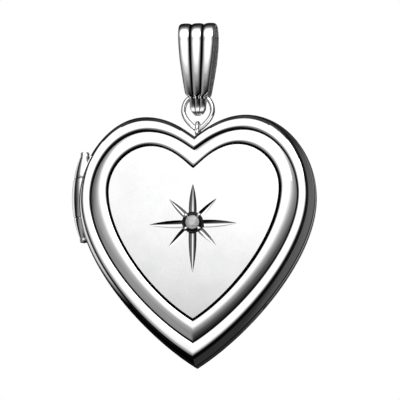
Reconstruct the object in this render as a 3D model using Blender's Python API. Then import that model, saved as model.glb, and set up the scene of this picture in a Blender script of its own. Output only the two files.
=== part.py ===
# Heart locket on a fluted bail: hinged cover, stepped border, bead-set stone in an eight-ray star.
# Frame: +X to the right as the front is looked at, front faces -Y, +Z up.
# The origin is the middle of the chain passage in the bail. Lengths below are in millimetres.
import math

import bmesh
import bpy
from mathutils import Matrix, Vector

MM = 0.001

# ---- heart outlines: cleft z, lobe x, lobe top z, flank x, flank z, tip z, about the heart's centre ----
HEART_Z = -18.1
RIM_LINE = (8.05, 5.02, 10.22, 11.90, 1.85, -14.96)
CREASE_LINE = (7.93, 5.01, 10.00, 11.34, 1.85, -14.32)
BORDER_LINE = (6.56, 4.72, 8.51, 10.31, 1.93, -12.63)
FIELD_LINE = (4.65, 4.39, 7.02, 8.58, 2.60, -10.45)
CLEFT_ANGLE = math.radians(31.0)
TIP_ANGLE = math.radians(58.3)
CLEFT_PULL = 0.138
LOBE_PULL = 0.490
SHOULDER_PULL = 0.538
FLANK_TOP_PULL = 0.552
FLANK_PULL = 0.363
TIP_PULL = 0.360
HALF_POINTS = 34

# ---- covers ----
PARTING_GAP = 0.02
SEAT_INSET = 0.42
SEAT_DEPTH = 1.25
DOME_TOP = 3.0
DOME_RADIUS = 120.0
DOME_WALL = 0.4
BACK_TOP = 2.8
BACK_WALL = 0.38
# (outline level, height) up the wall, over the border and the ring, and over the back's shoulder
WALL = ((0, PARTING_GAP), (0.08, 0.45), (0.35, 1.10), (0.75, 1.75), (1.0, 2.05))
BORDER = ((1.05, 2.28), (1.30, 2.52), (1.62, 2.54), (1.92, 2.32), (2.0, 2.12))
RING = ((2.10, 2.38), (2.35, 2.55), (2.70, 2.66), (2.90, 2.62), (3.0, 2.46))
SHOULDER = ((1.22, 2.40), (1.55, 2.63), (2.0, 2.77), (2.25, BACK_TOP))
FIELD_FACTORS = (0.22, 0.45, 0.70, 0.90, 0.975)
# (inset, height) of the hollow above the seat
FRONT_HOLLOW = ((0.75, 1.70), (1.30, 1.95))
BACK_HOLLOW = ((0.75, 1.75), (1.30, 2.18))
BACK_FLOOR_LEVEL = 2.3

# ---- hinge, whose barrel follows the heart's flank ----
HINGE_X = -11.40
HINGE_BOTTOM = -2.13
HINGE_TOP = 6.94
KNUCKLE_CUTS = (0.29, 4.27)
BARREL_MIDDLE = 2.40
BARREL_RADIUS = 1.25
BARREL_CURVE = 11.0
BARREL_END_RADIUS = 0.45
HINGE_CLEARANCE = 0.05
WEDGE_CLEARANCE = 0.08
PIN_RADIUS = 0.20
PIN_TIP_RADIUS = 0.12
PIN_HEAD = 0.06
PIN_BORE_RADIUS = 0.23
OPEN_LIMIT_ANGLE = math.radians(104.0)

# ---- fittings inside ----
SNAP_OUTER = 0.46
SNAP_THICKNESS = 0.20
SNAP_HEIGHT = 0.60
FRAME_INSET = 0.48
FRAME_WIDTH = 0.85
FRAME_FRONT = 0.65
FRAME_BACK = 1.00
PLATE_INSET = 0.58
WINDOW_DEPTHS = (1.03, 1.12)
CARD_DEPTHS = (1.15, 1.24)
HINGE_SIDE = -9.90

# ---- opening lip at the tip ----
LIP_TOP_Z = -8.70
LIP_HEIGHT = 0.35
LIP_WIDTH = 0.38

# ---- star and stone ----
STAR_Z = -0.85
LONG_RAYS = (4.40, 3.85, 4.40, 5.00)
SHORT_RAYS = (3.35, 3.35, 3.35, 3.35)
RAY_WIDTH = 0.30
RAY_DEPTH = 0.18
STONE_RADIUS = 0.66
BEAD_RADIUS = 0.20
SETTING_RADIUS = 1.08
PEG_RADIUS = 0.50
PEG_CLEARANCE = 0.03

# ---- hanging parts ----
EYE_Z = 9.02
EYE_RADIUS = 0.62
EYE_WIRE = 0.22
FOOT_BOTTOM = 7.75
FOOT_TOP = 8.52
FOOT_RADIUS = 0.18
FOOT_DEPTH = 0.30
SOCKET_CLEARANCE = 0.01
LINK_WIRE = 0.25
LINK_BOTTOM = 9.06
LINK_TOP = 12.50
LINK_WIDEST_Z = 10.90
LINK_HALF_WIDTH = 1.47
BAIL_TOP_RADIUS = 1.72
BAIL_WALL = 0.32
BAIL_HOLE_BOTTOM = 11.65
BAIL_TIP = 10.46
BAIL_NECK_RADIUS = 0.42
BAIL_FRONT_HANDLES = ((1.70, 15.6), (1.50, 12.6))
BAIL_WIDTHS = (
    (BAIL_TIP, 0.25),
    (10.7, 0.55),
    (11.1, 0.76),
    (12.15, 0.80),
    (12.55, 1.20),
    (16.0, 1.69),
    (17.6, 1.82),
    (19.9, 1.86),
)
BAIL_TAIL = ((30, 0.62, 11.75), (60, 0.44, 11.40), (75, 0.36, 10.90), (86, 0.20, BAIL_TIP))
BAIL_TOP_SWEEP = math.radians(97.0)
BAIL_FLUTES = 3
FLUTE_START = 10.5
FLUTE_RUN = 2.0
FLUTE_DEPTH = 0.16


def clear_scene():
    for item in list(bpy.data.objects):
        bpy.data.objects.remove(item, do_unlink=True)


def finish_material(name, colour, roughness, metallic):
    material = bpy.data.materials.new(name)
    material.use_nodes = True
    shader = material.node_tree.nodes["Principled BSDF"]
    shader.inputs["Base Color"].default_value = (*colour, 1.0)
    shader.inputs["Roughness"].default_value = roughness
    shader.inputs["Metallic"].default_value = metallic
    return material


def make_object(name, points, faces, material=None):
    mesh = bpy.data.meshes.new(name)
    mesh.from_pydata([(x * MM, y * MM, z * MM) for x, y, z in points], [], faces)
    body = bmesh.new()
    body.from_mesh(mesh)
    bmesh.ops.recalc_face_normals(body, faces=body.faces)
    body.to_mesh(mesh)
    body.free()
    mesh.shade_smooth()
    mesh.set_sharp_from_angle(angle=math.radians(35.0))
    if material:
        mesh.materials.append(material)
    item = bpy.data.objects.new(name, mesh)
    bpy.context.collection.objects.link(item)
    return item


def bezier(start, first, second, end, steps):
    points = []
    for step in range(steps):
        t = step / steps
        weights = ((1 - t) ** 3, 3 * (1 - t) ** 2 * t, 3 * (1 - t) * t * t, t ** 3)
        corners = (start, first, second, end)
        points.append(tuple(sum(w * c[axis] for w, c in zip(weights, corners)) for axis in (0, 1)))
    return points


def resample(points, count):
    lengths = [0.0]
    for a, b in zip(points, points[1:]):
        lengths.append(lengths[-1] + math.dist(a, b))
    result = []
    place = 0
    for step in range(count + 1):
        target = lengths[-1] * step / count
        while place < len(points) - 2 and lengths[place + 1] < target:
            place += 1
        t = (target - lengths[place]) / (lengths[place + 1] - lengths[place])
        a, b = points[place], points[place + 1]
        result.append((a[0] + (b[0] - a[0]) * t, a[1] + (b[1] - a[1]) * t))
    result[0] = (0.0, result[0][1])
    result[-1] = (0.0, result[-1][1])
    return result


def heart_half(line):
    # Right half of a heart, from the cleft over the lobe and the flank to the tip.
    cleft_z, lobe_x, lobe_z, flank_x, flank_z, tip_z = line
    drop = flank_z - tip_z
    cleft = (0.0, cleft_z)
    lobe = (lobe_x, lobe_z)
    flank = (flank_x, flank_z)
    tip = (0.0, tip_z)
    reach = CLEFT_PULL * lobe_x
    rise = (reach * math.cos(CLEFT_ANGLE), cleft_z + reach * math.sin(CLEFT_ANGLE))
    points = bezier(cleft, rise, (LOBE_PULL * lobe_x, lobe_z), lobe, 40)
    over = (lobe_x + SHOULDER_PULL * (flank_x - lobe_x), lobe_z)
    points += bezier(lobe, over, (flank_x, flank_z + FLANK_TOP_PULL * (lobe_z - flank_z)), flank, 40)
    reach = TIP_PULL * drop
    run_in = (reach * math.sin(TIP_ANGLE), tip_z + reach * math.cos(TIP_ANGLE))
    points += bezier(flank, (flank_x, flank_z - FLANK_PULL * drop), run_in, tip, 60)
    points.append(tip)
    return resample(points, HALF_POINTS)


def inset_half(half, distance):
    # Parallel line inside the heart: a round arc about the cleft, a mitre at the tip.
    cleft_z = half[0][1]
    turn = math.atan2(half[1][1] - cleft_z, half[1][0])
    points = []
    for step in range(6):
        angle = turn * step / 5
        points.append((distance * math.sin(angle), cleft_z - distance * math.cos(angle)))
    for before, here, after in zip(half, half[1:], half[2:]):
        length = math.dist(before, after)
        normal = ((after[1] - before[1]) / length, (before[0] - after[0]) / length)
        points.append((here[0] + distance * normal[0], here[1] + distance * normal[1]))
    last, tip = half[-2], half[-1]
    slope = (last[1] - tip[1]) / last[0]
    points = [point for point in points if point[0] > -1e-6]
    mitre = tip[1] + distance * math.sqrt(1 + slope * slope)
    points = [p for p in points if p[0] > 0.05 or p[1] > 0.0]
    points.append((0.0, mitre))
    return resample(points, HALF_POINTS)


def full_loop(half):
    return half + [(-x, z) for x, z in reversed(half[1:-1])]


def blend_halves(first, second, t):
    return [(a[0] + (b[0] - a[0]) * t, a[1] + (b[1] - a[1]) * t) for a, b in zip(first, second)]


RIM = heart_half(RIM_LINE)
OUTLINES = (RIM, heart_half(CREASE_LINE), heart_half(BORDER_LINE), heart_half(FIELD_LINE))


def outline_at(level):
    # 0 is the rim, 1 the crease above the wall, 2 the border's inner groove, 3 the field's groove.
    first = min(int(level), 2)
    return full_loop(blend_halves(OUTLINES[first], OUTLINES[first + 1], level - first))


def inset_loop(distance):
    return full_loop(inset_half(RIM, distance))


def scaled_loop(loop, factor):
    return [(x * factor, STAR_Z + (z - STAR_Z) * factor) for x, z in loop]


def flat_hinge_side(loop):
    return [(max(x, HINGE_SIDE), z) for x, z in loop]


def dome_height(x, z):
    return DOME_TOP - (x * x + (z - STAR_Z) ** 2) / (2 * DOME_RADIUS)


def rings_to_object(name, rings, side, material, closed=False, poles=None):
    # rings: lists of (x, height, z); side -1 is the front half of the piece, +1 the back half.
    points = [(x, side * height, z + HEART_Z) for ring in rings for x, height, z in ring]
    count = len(rings[0])
    faces = []
    pairs = list(zip(range(len(rings)), range(1, len(rings))))
    if closed:
        pairs.append((len(rings) - 1, 0))
    for a, b in pairs:
        for i in range(count):
            j = (i + 1) % count
            faces.append((a * count + i, a * count + j, b * count + j, b * count + i))
    for ring, pole in poles or ():
        points.append((pole[0], side * pole[1], pole[2] + HEART_Z))
        for i in range(count):
            faces.append((ring * count + i, ring * count + (i + 1) % count, len(points) - 1))
    return make_object(name, points, faces, material)


def level_ring(loop, height):
    return [(x, height, z) for x, z in loop]


def plate(name, loop, depths, side, material):
    rings = [level_ring(loop, depths[0]), level_ring(loop, depths[1])]
    poles = [(0, (0.0, depths[0], STAR_Z)), (1, (0.0, depths[1], STAR_Z))]
    return rings_to_object(name, rings, side, material, poles=poles)


def band(name, outer, inner, depths, side, material):
    rings = [level_ring(outer, depths[0]), level_ring(inner, depths[0])]
    rings += [level_ring(inner, depths[1]), level_ring(outer, depths[1])]
    return rings_to_object(name, rings, side, material, closed=True)


def open_strip(name, outer, inner, depths, material):
    # A strip with two ends: outer and inner are open runs of the same number of points.
    points = []
    for (outer_x, outer_z), (inner_x, inner_z) in zip(outer, inner):
        for x, z in ((outer_x, outer_z), (inner_x, inner_z)):
            points += [(x, depths[0], z + HEART_Z), (x, depths[1], z + HEART_Z)]
    faces = [(0, 1, 3, 2)]
    for i in range(len(outer) - 1):
        a, b = 4 * i, 4 * (i + 1)
        faces += [(a, b, b + 1, a + 1), (a + 2, a + 3, b + 3, b + 2)]
        faces += [(a, a + 2, b + 2, b), (a + 1, b + 1, b + 3, a + 3)]
    end = 4 * (len(outer) - 1)
    faces.append((end, end + 2, end + 3, end + 1))
    return make_object(name, points, faces, material)


def turned(name, profile, centre, axis, steps, material=None, closed=True):
    # profile: (radius, place along the axis). An open profile starts and ends on the axis.
    body = profile if closed else profile[1:-1]
    points = []
    for radius, along in body:
        for step in range(steps):
            angle = math.tau * step / steps
            a, b = radius * math.cos(angle), radius * math.sin(angle)
            offset = (a, b, along) if axis == "Z" else (a, along, b)
            points.append(tuple(c + o for c, o in zip(centre, offset)))
    faces = []
    rows = len(body)
    for row in range(rows if closed else rows - 1):
        following = (row + 1) % rows
        for i in range(steps):
            j = (i + 1) % steps
            faces.append((row * steps + i, row * steps + j, following * steps + j, following * steps + i))
    if not closed:
        for row, (radius, along) in ((0, profile[0]), (rows - 1, profile[-1])):
            offset = (0.0, 0.0, along) if axis == "Z" else (0.0, along, 0.0)
            points.append(tuple(c + o for c, o in zip(centre, offset)))
            for i in range(steps):
                faces.append((row * steps + i, row * steps + (i + 1) % steps, len(points) - 1))
    return make_object(name, points, faces, material)


def wire_ring(name, path, flat_axis, radius, sides, material):
    # A round wire along a closed flat path; flat_axis is 0 for a ring in YZ and 1 for a ring in XZ.
    points = []
    count = len(path)
    for i, (u, z) in enumerate(path):
        before, after = path[i - 1], path[(i + 1) % count]
        length = math.dist(before, after)
        normal = ((after[1] - before[1]) / length, (before[0] - after[0]) / length)
        for side in range(sides):
            angle = math.tau * side / sides
            out, off = radius * math.cos(angle), radius * math.sin(angle)
            flat = (u + out * normal[0], z + out * normal[1] + HEART_Z)
            points.append((off, *flat) if flat_axis == 0 else (flat[0], off, flat[1]))
    faces = []
    for i in range(count):
        for side in range(sides):
            j, following = (i + 1) % count, (side + 1) % sides
            faces.append((i * sides + side, j * sides + side, j * sides + following, i * sides + following))
    return make_object(name, points, faces, material)


def as_cutter(item):
    item.hide_render = True
    item.display_type = "WIRE"
    return item


def combine(item, other, operation):
    modifier = item.modifiers.new(operation.lower(), "BOOLEAN")
    modifier.operation = operation
    modifier.object = as_cutter(other)


def barrel_radius(z):
    sag = BARREL_CURVE - math.sqrt(BARREL_CURVE ** 2 - (z - BARREL_MIDDLE) ** 2)
    return max(BARREL_END_RADIUS, BARREL_RADIUS - sag)


def barrel_cutter():
    low, high = HINGE_BOTTOM - HINGE_CLEARANCE, HINGE_TOP + HINGE_CLEARANCE
    profile = [(0.0, low)]
    for step in range(13):
        z = low + (high - low) * step / 12
        profile.append((barrel_radius(z) + HINGE_CLEARANCE, z))
    profile.append((0.0, high))
    return turned("barrel_cutter", profile, (HINGE_X, 0.0, HEART_Z), "Z", 32, closed=False)


def wedge_cutter(side):
    # Takes off the wall outboard of the hinge, so the walls stand clear as the cover opens.
    reach = 6.0
    edge = (HINGE_X + reach * math.cos(OPEN_LIMIT_ANGLE), side * reach * math.sin(OPEN_LIMIT_ANGLE))
    corners = [(HINGE_X, 0.0), edge, (HINGE_X - reach, side * reach), (HINGE_X - reach, -side * 0.5)]
    low, high = HINGE_BOTTOM - WEDGE_CLEARANCE, HINGE_TOP + WEDGE_CLEARANCE
    points = [(x, y, z + HEART_Z) for z in (low, high) for x, y in corners]
    faces = [(0, 1, 2, 3), (4, 5, 6, 7)] + [(i, (i + 1) % 4, (i + 1) % 4 + 4, i + 4) for i in range(4)]
    return make_object("wedge_cutter_front" if side < 0 else "wedge_cutter_back", points, faces)


def lip_relief_cutter():
    half_width = 12.0
    depths = (-LIP_HEIGHT - 2 * PARTING_GAP, 0.5)
    heights = (HEART_Z - 16.0, HEART_Z + LIP_TOP_Z)
    points = [(x, y, z) for z in heights for y in depths for x in (-half_width, half_width)]
    faces = [(0, 1, 3, 2), (4, 5, 7, 6), (0, 1, 5, 4), (2, 3, 7, 6), (0, 2, 6, 4), (1, 3, 7, 5)]
    return make_object("lip_relief_cutter", points, faces)


def star_cutter(name, lengths, first_angle):
    # Four bright-cut rays, each a wedge that starts under the setting and runs out at its tip.
    points = []
    faces = []
    above = 0.05
    root = 0.85
    flare = RAY_WIDTH * (1 + above / RAY_DEPTH)
    for ray in range(4):
        angle = first_angle + ray * math.tau / 4
        along = (math.cos(angle), math.sin(angle))
        across = (-along[1], along[0])
        base = len(points)
        for offset, height in ((flare, above), (-flare, above), (0.0, -RAY_DEPTH)):
            x = along[0] * root + across[0] * offset
            z = STAR_Z + along[1] * root + across[1] * offset
            surface = dome_height(along[0] * root, STAR_Z + along[1] * root)
            points.append((x, -(surface + height), z + HEART_Z))
        x, z = along[0] * lengths[ray], STAR_Z + along[1] * lengths[ray]
        points.append((x, -(dome_height(x, z) + 0.01), z + HEART_Z))
        faces += [(base, base + 1, base + 2), (base, base + 1, base + 3)]
        faces += [(base + 1, base + 2, base + 3), (base + 2, base, base + 3)]
    return make_object(name, points, faces)


def front_shell(material):
    rings = [level_ring(outline_at(level), height) for level, height in reversed(WALL + BORDER + RING)]
    field = []
    for factor in FIELD_FACTORS:
        loop = scaled_loop(outline_at(3.0), factor)
        field.append([(x, dome_height(x, z), z) for x, z in loop])
    inside = [level_ring(inset_loop(SEAT_INSET), height) for height in (PARTING_GAP, SEAT_DEPTH)]
    inside += [level_ring(inset_loop(inset), height) for inset, height in FRONT_HOLLOW]
    for factor in (0.95, 0.50, 0.15):
        loop = scaled_loop(outline_at(3.0), factor)
        inside.append([(x, dome_height(x, z) - DOME_WALL, z) for x, z in loop])
    stack = field + rings + inside
    poles = [(0, (0.0, DOME_TOP, STAR_Z)), (len(stack) - 1, (0.0, DOME_TOP - DOME_WALL, STAR_Z))]
    shell = rings_to_object("front_shell", stack, -1, material, poles=poles)
    combine(shell, barrel_cutter(), "DIFFERENCE")
    combine(shell, wedge_cutter(-1), "DIFFERENCE")
    combine(shell, lip_relief_cutter(), "DIFFERENCE")
    combine(shell, star_cutter("long_ray_cutter", LONG_RAYS, 0.0), "DIFFERENCE")
    combine(shell, star_cutter("short_ray_cutter", SHORT_RAYS, math.tau / 8), "DIFFERENCE")
    hole_radius = PEG_RADIUS + PEG_CLEARANCE
    peg_hole = [(0.0, -4.0), (hole_radius, -4.0), (hole_radius, -1.0), (0.0, -1.0)]
    hole = turned("peg_hole_cutter", peg_hole, (0.0, 0.0, HEART_Z + STAR_Z), "Y", 24, closed=False)
    combine(shell, hole, "DIFFERENCE")


def back_shell(material):
    rings = [level_ring(outline_at(level), height) for level, height in reversed(WALL + SHOULDER)]
    inside = [level_ring(inset_loop(SEAT_INSET), height) for height in (PARTING_GAP, SEAT_DEPTH)]
    inside += [level_ring(inset_loop(inset), height) for inset, height in BACK_HOLLOW]
    inside.append(level_ring(outline_at(BACK_FLOOR_LEVEL), BACK_TOP - BACK_WALL))
    stack = rings + inside
    poles = [(0, (0.0, BACK_TOP, STAR_Z)), (len(stack) - 1, (0.0, BACK_TOP - BACK_WALL, STAR_Z))]
    shell = rings_to_object("back_shell", stack, 1, material, poles=poles)
    combine(shell, bpy.data.objects["barrel_cutter"], "DIFFERENCE")
    combine(shell, wedge_cutter(1), "DIFFERENCE")
    socket_radius = FOOT_RADIUS + SOCKET_CLEARANCE
    low = FOOT_BOTTOM - SOCKET_CLEARANCE
    socket = [(0.0, low), (socket_radius, low), (socket_radius, FOOT_TOP), (0.0, FOOT_TOP)]
    cutter = turned("eye_socket_cutter", socket, (0.0, FOOT_DEPTH, HEART_Z), "Z", 12, closed=False)
    combine(shell, cutter, "DIFFERENCE")


def knuckle(name, low, high, material):
    profile = [(PIN_BORE_RADIUS, low), (PIN_BORE_RADIUS, high)]
    for step in range(6):
        z = high + (low - high) * step / 5
        profile.append((barrel_radius(z), z))
    turned(name, profile, (HINGE_X, 0.0, HEART_Z), "Z", 28, material)


def hinge(material, pin_material):
    gap = 0.5 * HINGE_CLEARANCE
    knuckle("back_knuckle_lower", HINGE_BOTTOM, KNUCKLE_CUTS[0] - gap, material)
    knuckle("front_knuckle", KNUCKLE_CUTS[0] + gap, KNUCKLE_CUTS[1] - gap, material)
    knuckle("back_knuckle_upper", KNUCKLE_CUTS[1] + gap, HINGE_TOP, material)
    low, high = HINGE_BOTTOM - PIN_HEAD, HINGE_TOP + PIN_HEAD
    pin = [(0.0, low), (PIN_TIP_RADIUS, low), (PIN_RADIUS, HINGE_BOTTOM), (PIN_RADIUS, HINGE_TOP)]
    pin += [(PIN_TIP_RADIUS, high), (0.0, high)]
    turned("hinge_pin", pin, (HINGE_X, 0.0, HEART_Z), "Z", 16, pin_material, closed=False)


def snap_rim(material):
    outer = inset_loop(SNAP_OUTER)
    inner = inset_loop(SNAP_OUTER + SNAP_THICKNESS)
    left_start = [i for i, (x, z) in enumerate(outer) if x < HINGE_SIDE]
    order = list(range(left_start[-1] + 1, len(outer))) + list(range(left_start[0]))
    depths = (-SNAP_HEIGHT, SNAP_HEIGHT)
    open_strip("snap_rim", [outer[i] for i in order], [inner[i] for i in order], depths, material)


def opening_lip(material):
    outer = outline_at(0.02)
    inner = inset_loop(LIP_WIDTH)
    low_run = [i for i, (x, z) in enumerate(inner) if z < LIP_TOP_Z - 0.05]
    depths = (-LIP_HEIGHT, 0.0)
    open_strip("opening_lip", [outer[i] for i in low_run], [inner[i] for i in low_run], depths, material)


def picture_holder(half, side, metal, clear, paper):
    outer = flat_hinge_side(inset_loop(FRAME_INSET))
    inner = [(max(x, HINGE_SIDE + FRAME_WIDTH), z) for x, z in inset_loop(FRAME_INSET + FRAME_WIDTH)]
    band(half + "_picture_frame", outer, inner, (FRAME_FRONT, FRAME_BACK), side, metal)
    inside = flat_hinge_side(inset_loop(PLATE_INSET))
    plate(half + "_window", inside, WINDOW_DEPTHS, side, clear)
    plate(half + "_picture_card", inside, CARD_DEPTHS, side, paper)


def stone_setting(material):
    top = DOME_TOP + 0.20
    under = DOME_TOP + 0.03
    profile = [(0.25, 2.45), (PEG_RADIUS, 2.45), (PEG_RADIUS, under), (SETTING_RADIUS, under)]
    profile += [(SETTING_RADIUS, top - 0.08), (SETTING_RADIUS - 0.08, top), (0.65, top), (0.27, 2.85)]
    centre = (0.0, 0.0, HEART_Z + STAR_Z)
    setting = turned("stone_setting", [(r, -h) for r, h in profile], centre, "Y", 32, material)
    bead_place = STONE_RADIUS + BEAD_RADIUS + 0.03
    for bead in range(4):
        angle = math.tau * (bead + 0.5) / 4
        at = (bead_place * math.cos(angle), -top, HEART_Z + STAR_Z + bead_place * math.sin(angle))
        arc = [math.pi * step / 6 for step in range(7)]
        ball = [(BEAD_RADIUS * math.sin(a), -BEAD_RADIUS * math.cos(a)) for a in arc]
        combine(setting, turned("bead_%d" % bead, ball, at, "Y", 12, material, closed=False), "UNION")


def diamond(material):
    girdle = DOME_TOP + 0.20
    profile = [(0.0, girdle + 0.14), (0.36, girdle + 0.14), (STONE_RADIUS, girdle + 0.02)]
    profile += [(STONE_RADIUS, girdle), (0.0, girdle - 0.43)]
    centre = (0.0, 0.0, HEART_Z + STAR_Z)
    turned("diamond", [(r, -h) for r, h in profile], centre, "Y", 16, material, closed=False)


def hanging_eye(material):
    steps = 24
    path = []
    for step in range(steps):
        angle = math.tau * step / steps
        path.append((EYE_RADIUS * math.sin(angle), EYE_Z + EYE_RADIUS * math.cos(angle)))
    eye = wire_ring("hanging_eye", path, 0, EYE_WIRE, 10, material)
    foot = [(0.0, FOOT_BOTTOM), (FOOT_RADIUS, FOOT_BOTTOM), (FOOT_RADIUS, FOOT_TOP), (0.0, FOOT_TOP)]
    place = (0.0, FOOT_DEPTH, HEART_Z)
    combine(eye, turned("eye_foot", foot, place, "Z", 12, material, closed=False), "UNION")


def jump_ring(material):
    # Pear shape: round over the top, drawn in to a soft V at the eye.
    width = LINK_HALF_WIDTH
    top, widest, bottom = (0.0, LINK_TOP), (width, LINK_WIDEST_Z), (0.0, LINK_BOTTOM)
    shoulder = LINK_WIDEST_Z + 0.65 * (LINK_TOP - LINK_WIDEST_Z)
    hip = LINK_WIDEST_Z - 0.42 * (LINK_WIDEST_Z - LINK_BOTTOM)
    half = bezier(top, (0.51 * width, LINK_TOP), (width, shoulder), widest, 20)
    half += bezier(widest, (width, hip), (0.20 * width, LINK_BOTTOM), bottom, 20) + [bottom]
    path = full_loop(resample(half, 22))
    wire_ring("jump_ring", path, 1, LINK_WIRE, 12, material)


def bail_half_width(z):
    # The strip narrows from the top and is cut in to pass through the link, then rounds off.
    for (low, low_width), (high, high_width) in zip(BAIL_WIDTHS, BAIL_WIDTHS[1:]):
        if z <= high:
            return low_width + (high_width - low_width) * max(0.0, z - low) / (high - low)
    return BAIL_WIDTHS[-1][1]


def bail(material):
    # Side view: an outer and an inner loop with the same number of stations, top to tip and back.
    centre_z = -HEART_Z
    hole_radius = BAIL_TOP_RADIUS - BAIL_WALL
    outer = []
    inner = []
    for step in range(8):
        angle = BAIL_TOP_SWEEP * step / 7
        outer.append((BAIL_TOP_RADIUS * math.sin(angle), centre_z + BAIL_TOP_RADIUS * math.cos(angle)))
        inner.append((hole_radius * math.sin(angle), centre_z + hole_radius * math.cos(angle)))
    neck = BAIL_HOLE_BOTTOM + BAIL_NECK_RADIUS
    front = bezier(outer[-1], *BAIL_FRONT_HANDLES, (BAIL_NECK_RADIUS + BAIL_WALL, neck), 6)[1:]
    for depth, z in front + [(BAIL_NECK_RADIUS + BAIL_WALL, neck)]:
        outer.append((depth, z))
        inner.append((depth - BAIL_WALL, z))
    for angle, depth, z in BAIL_TAIL:
        turn = math.radians(angle)
        outer.append((depth, z))
        inner.append((BAIL_NECK_RADIUS * math.cos(turn), neck - BAIL_NECK_RADIUS * math.sin(turn)))
    outer = [(-y, z) for y, z in outer] + [(y, z) for y, z in reversed(outer[1:])]
    inner = [(-y, z) for y, z in inner] + [(y, z) for y, z in reversed(inner[1:])]
    across = 6 * BAIL_FLUTES
    points = []
    for (outer_y, outer_z), (inner_y, inner_z) in zip(outer, inner):
        width = bail_half_width(outer_z)
        inner_width = min(width, bail_half_width(inner_z))
        length = max(0.2, math.hypot(outer_y, max(0.0, outer_z - centre_z)))
        normal = (outer_y / length, max(0.0, outer_z - centre_z) / length)
        fade = max(0.0, min(1.0, (outer_z - FLUTE_START) / FLUTE_RUN))
        for step in range(across + 1):
            u = step / across
            lift = FLUTE_DEPTH * (abs(math.sin(BAIL_FLUTES * math.pi * u)) - 1.0) * fade
            points.append((width * (2 * u - 1), outer_y + lift * normal[0], outer_z + lift * normal[1]))
        points += [(inner_width, inner_y, inner_z), (-inner_width, inner_y, inner_z)]
    row = across + 3
    faces = []
    for i in range(len(outer)):
        j = (i + 1) % len(outer)
        for k in range(row):
            following = (k + 1) % row
            faces.append((i * row + k, j * row + k, j * row + following, i * row + following))
    make_object("bail", [(x, y, z + HEART_Z) for x, y, z in points], faces, material)


def joint_empty(name, place, names, parent=None):
    # The pieces of one moving group hang from an empty that sits on their joint's axis.
    pivot = bpy.data.objects.new(name, None)
    bpy.context.collection.objects.link(pivot)
    pivot.empty_display_size = 2 * MM
    pivot.location = [value * MM for value in place]
    if parent:
        pivot.parent = parent
        pivot.matrix_parent_inverse = Matrix.Translation(-parent_place(parent))
    for item in names:
        piece = bpy.data.objects[item]
        piece.parent = pivot
        piece.matrix_parent_inverse = Matrix.Translation([-value * MM for value in place])
    return pivot


def parent_place(item):
    place = Vector((0.0, 0.0, 0.0))
    while item:
        place += item.location
        if item.parent:
            place += item.matrix_parent_inverse.translation
        item = item.parent
    return place


def hang_groups():
    link = joint_empty("link_axis", (0.0, 0.0, HEART_Z + LINK_TOP), ["jump_ring"])
    back = ["back_shell", "back_knuckle_lower", "back_knuckle_upper", "hinge_pin", "snap_rim", "opening_lip"]
    back += ["back_picture_frame", "back_window", "back_picture_card", "hanging_eye"]
    locket = joint_empty("locket_axis", (0.0, 0.0, HEART_Z + LINK_BOTTOM), back, link)
    front = ["front_shell", "front_knuckle", "front_picture_frame", "front_window", "front_picture_card"]
    front += ["stone_setting", "diamond"]
    hinge_middle = 0.5 * (HINGE_BOTTOM + HINGE_TOP)
    joint_empty("cover_axis", (HINGE_X, 0.0, HEART_Z + hinge_middle), front, locket)


def main():
    clear_scene()
    silver = finish_material("polished_silver", (0.88, 0.88, 0.89), 0.12, 1.0)
    satin = finish_material("satin_silver", (0.84, 0.84, 0.85), 0.30, 1.0)
    inner_metal = finish_material("inner_silver", (0.80, 0.80, 0.81), 0.25, 1.0)
    steel = finish_material("pin_steel", (0.62, 0.62, 0.64), 0.25, 1.0)
    clear = finish_material("clear_plastic", (0.93, 0.95, 0.96), 0.08, 0.0)
    paper = finish_material("card_paper", (0.92, 0.90, 0.86), 0.85, 0.0)
    stone = finish_material("cut_stone", (0.95, 0.96, 0.98), 0.02, 0.0)
    front_shell(satin)
    back_shell(silver)
    hinge(silver, steel)
    snap_rim(inner_metal)
    opening_lip(silver)
    picture_holder("front", -1, inner_metal, clear, paper)
    picture_holder("back", 1, inner_metal, clear, paper)
    stone_setting(silver)
    diamond(stone)
    hanging_eye(silver)
    jump_ring(silver)
    bail(silver)
    hang_groups()


main()
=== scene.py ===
import math

import bmesh
import bpy
from mathutils import Matrix, Vector


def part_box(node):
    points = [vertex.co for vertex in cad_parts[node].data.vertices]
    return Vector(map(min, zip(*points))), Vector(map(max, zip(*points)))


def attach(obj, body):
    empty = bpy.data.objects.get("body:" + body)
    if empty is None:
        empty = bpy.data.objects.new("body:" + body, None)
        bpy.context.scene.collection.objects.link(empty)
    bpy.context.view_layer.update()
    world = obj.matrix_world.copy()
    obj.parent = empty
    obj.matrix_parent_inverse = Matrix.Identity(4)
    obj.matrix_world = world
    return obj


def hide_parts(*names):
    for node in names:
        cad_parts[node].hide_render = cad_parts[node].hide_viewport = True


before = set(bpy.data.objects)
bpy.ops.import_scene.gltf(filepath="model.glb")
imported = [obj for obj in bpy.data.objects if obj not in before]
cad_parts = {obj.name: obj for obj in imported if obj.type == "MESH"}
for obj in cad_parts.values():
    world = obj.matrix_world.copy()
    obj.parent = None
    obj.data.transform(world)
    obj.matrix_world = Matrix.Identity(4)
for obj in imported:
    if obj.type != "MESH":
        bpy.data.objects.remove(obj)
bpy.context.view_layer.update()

mm = 0.001

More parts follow.
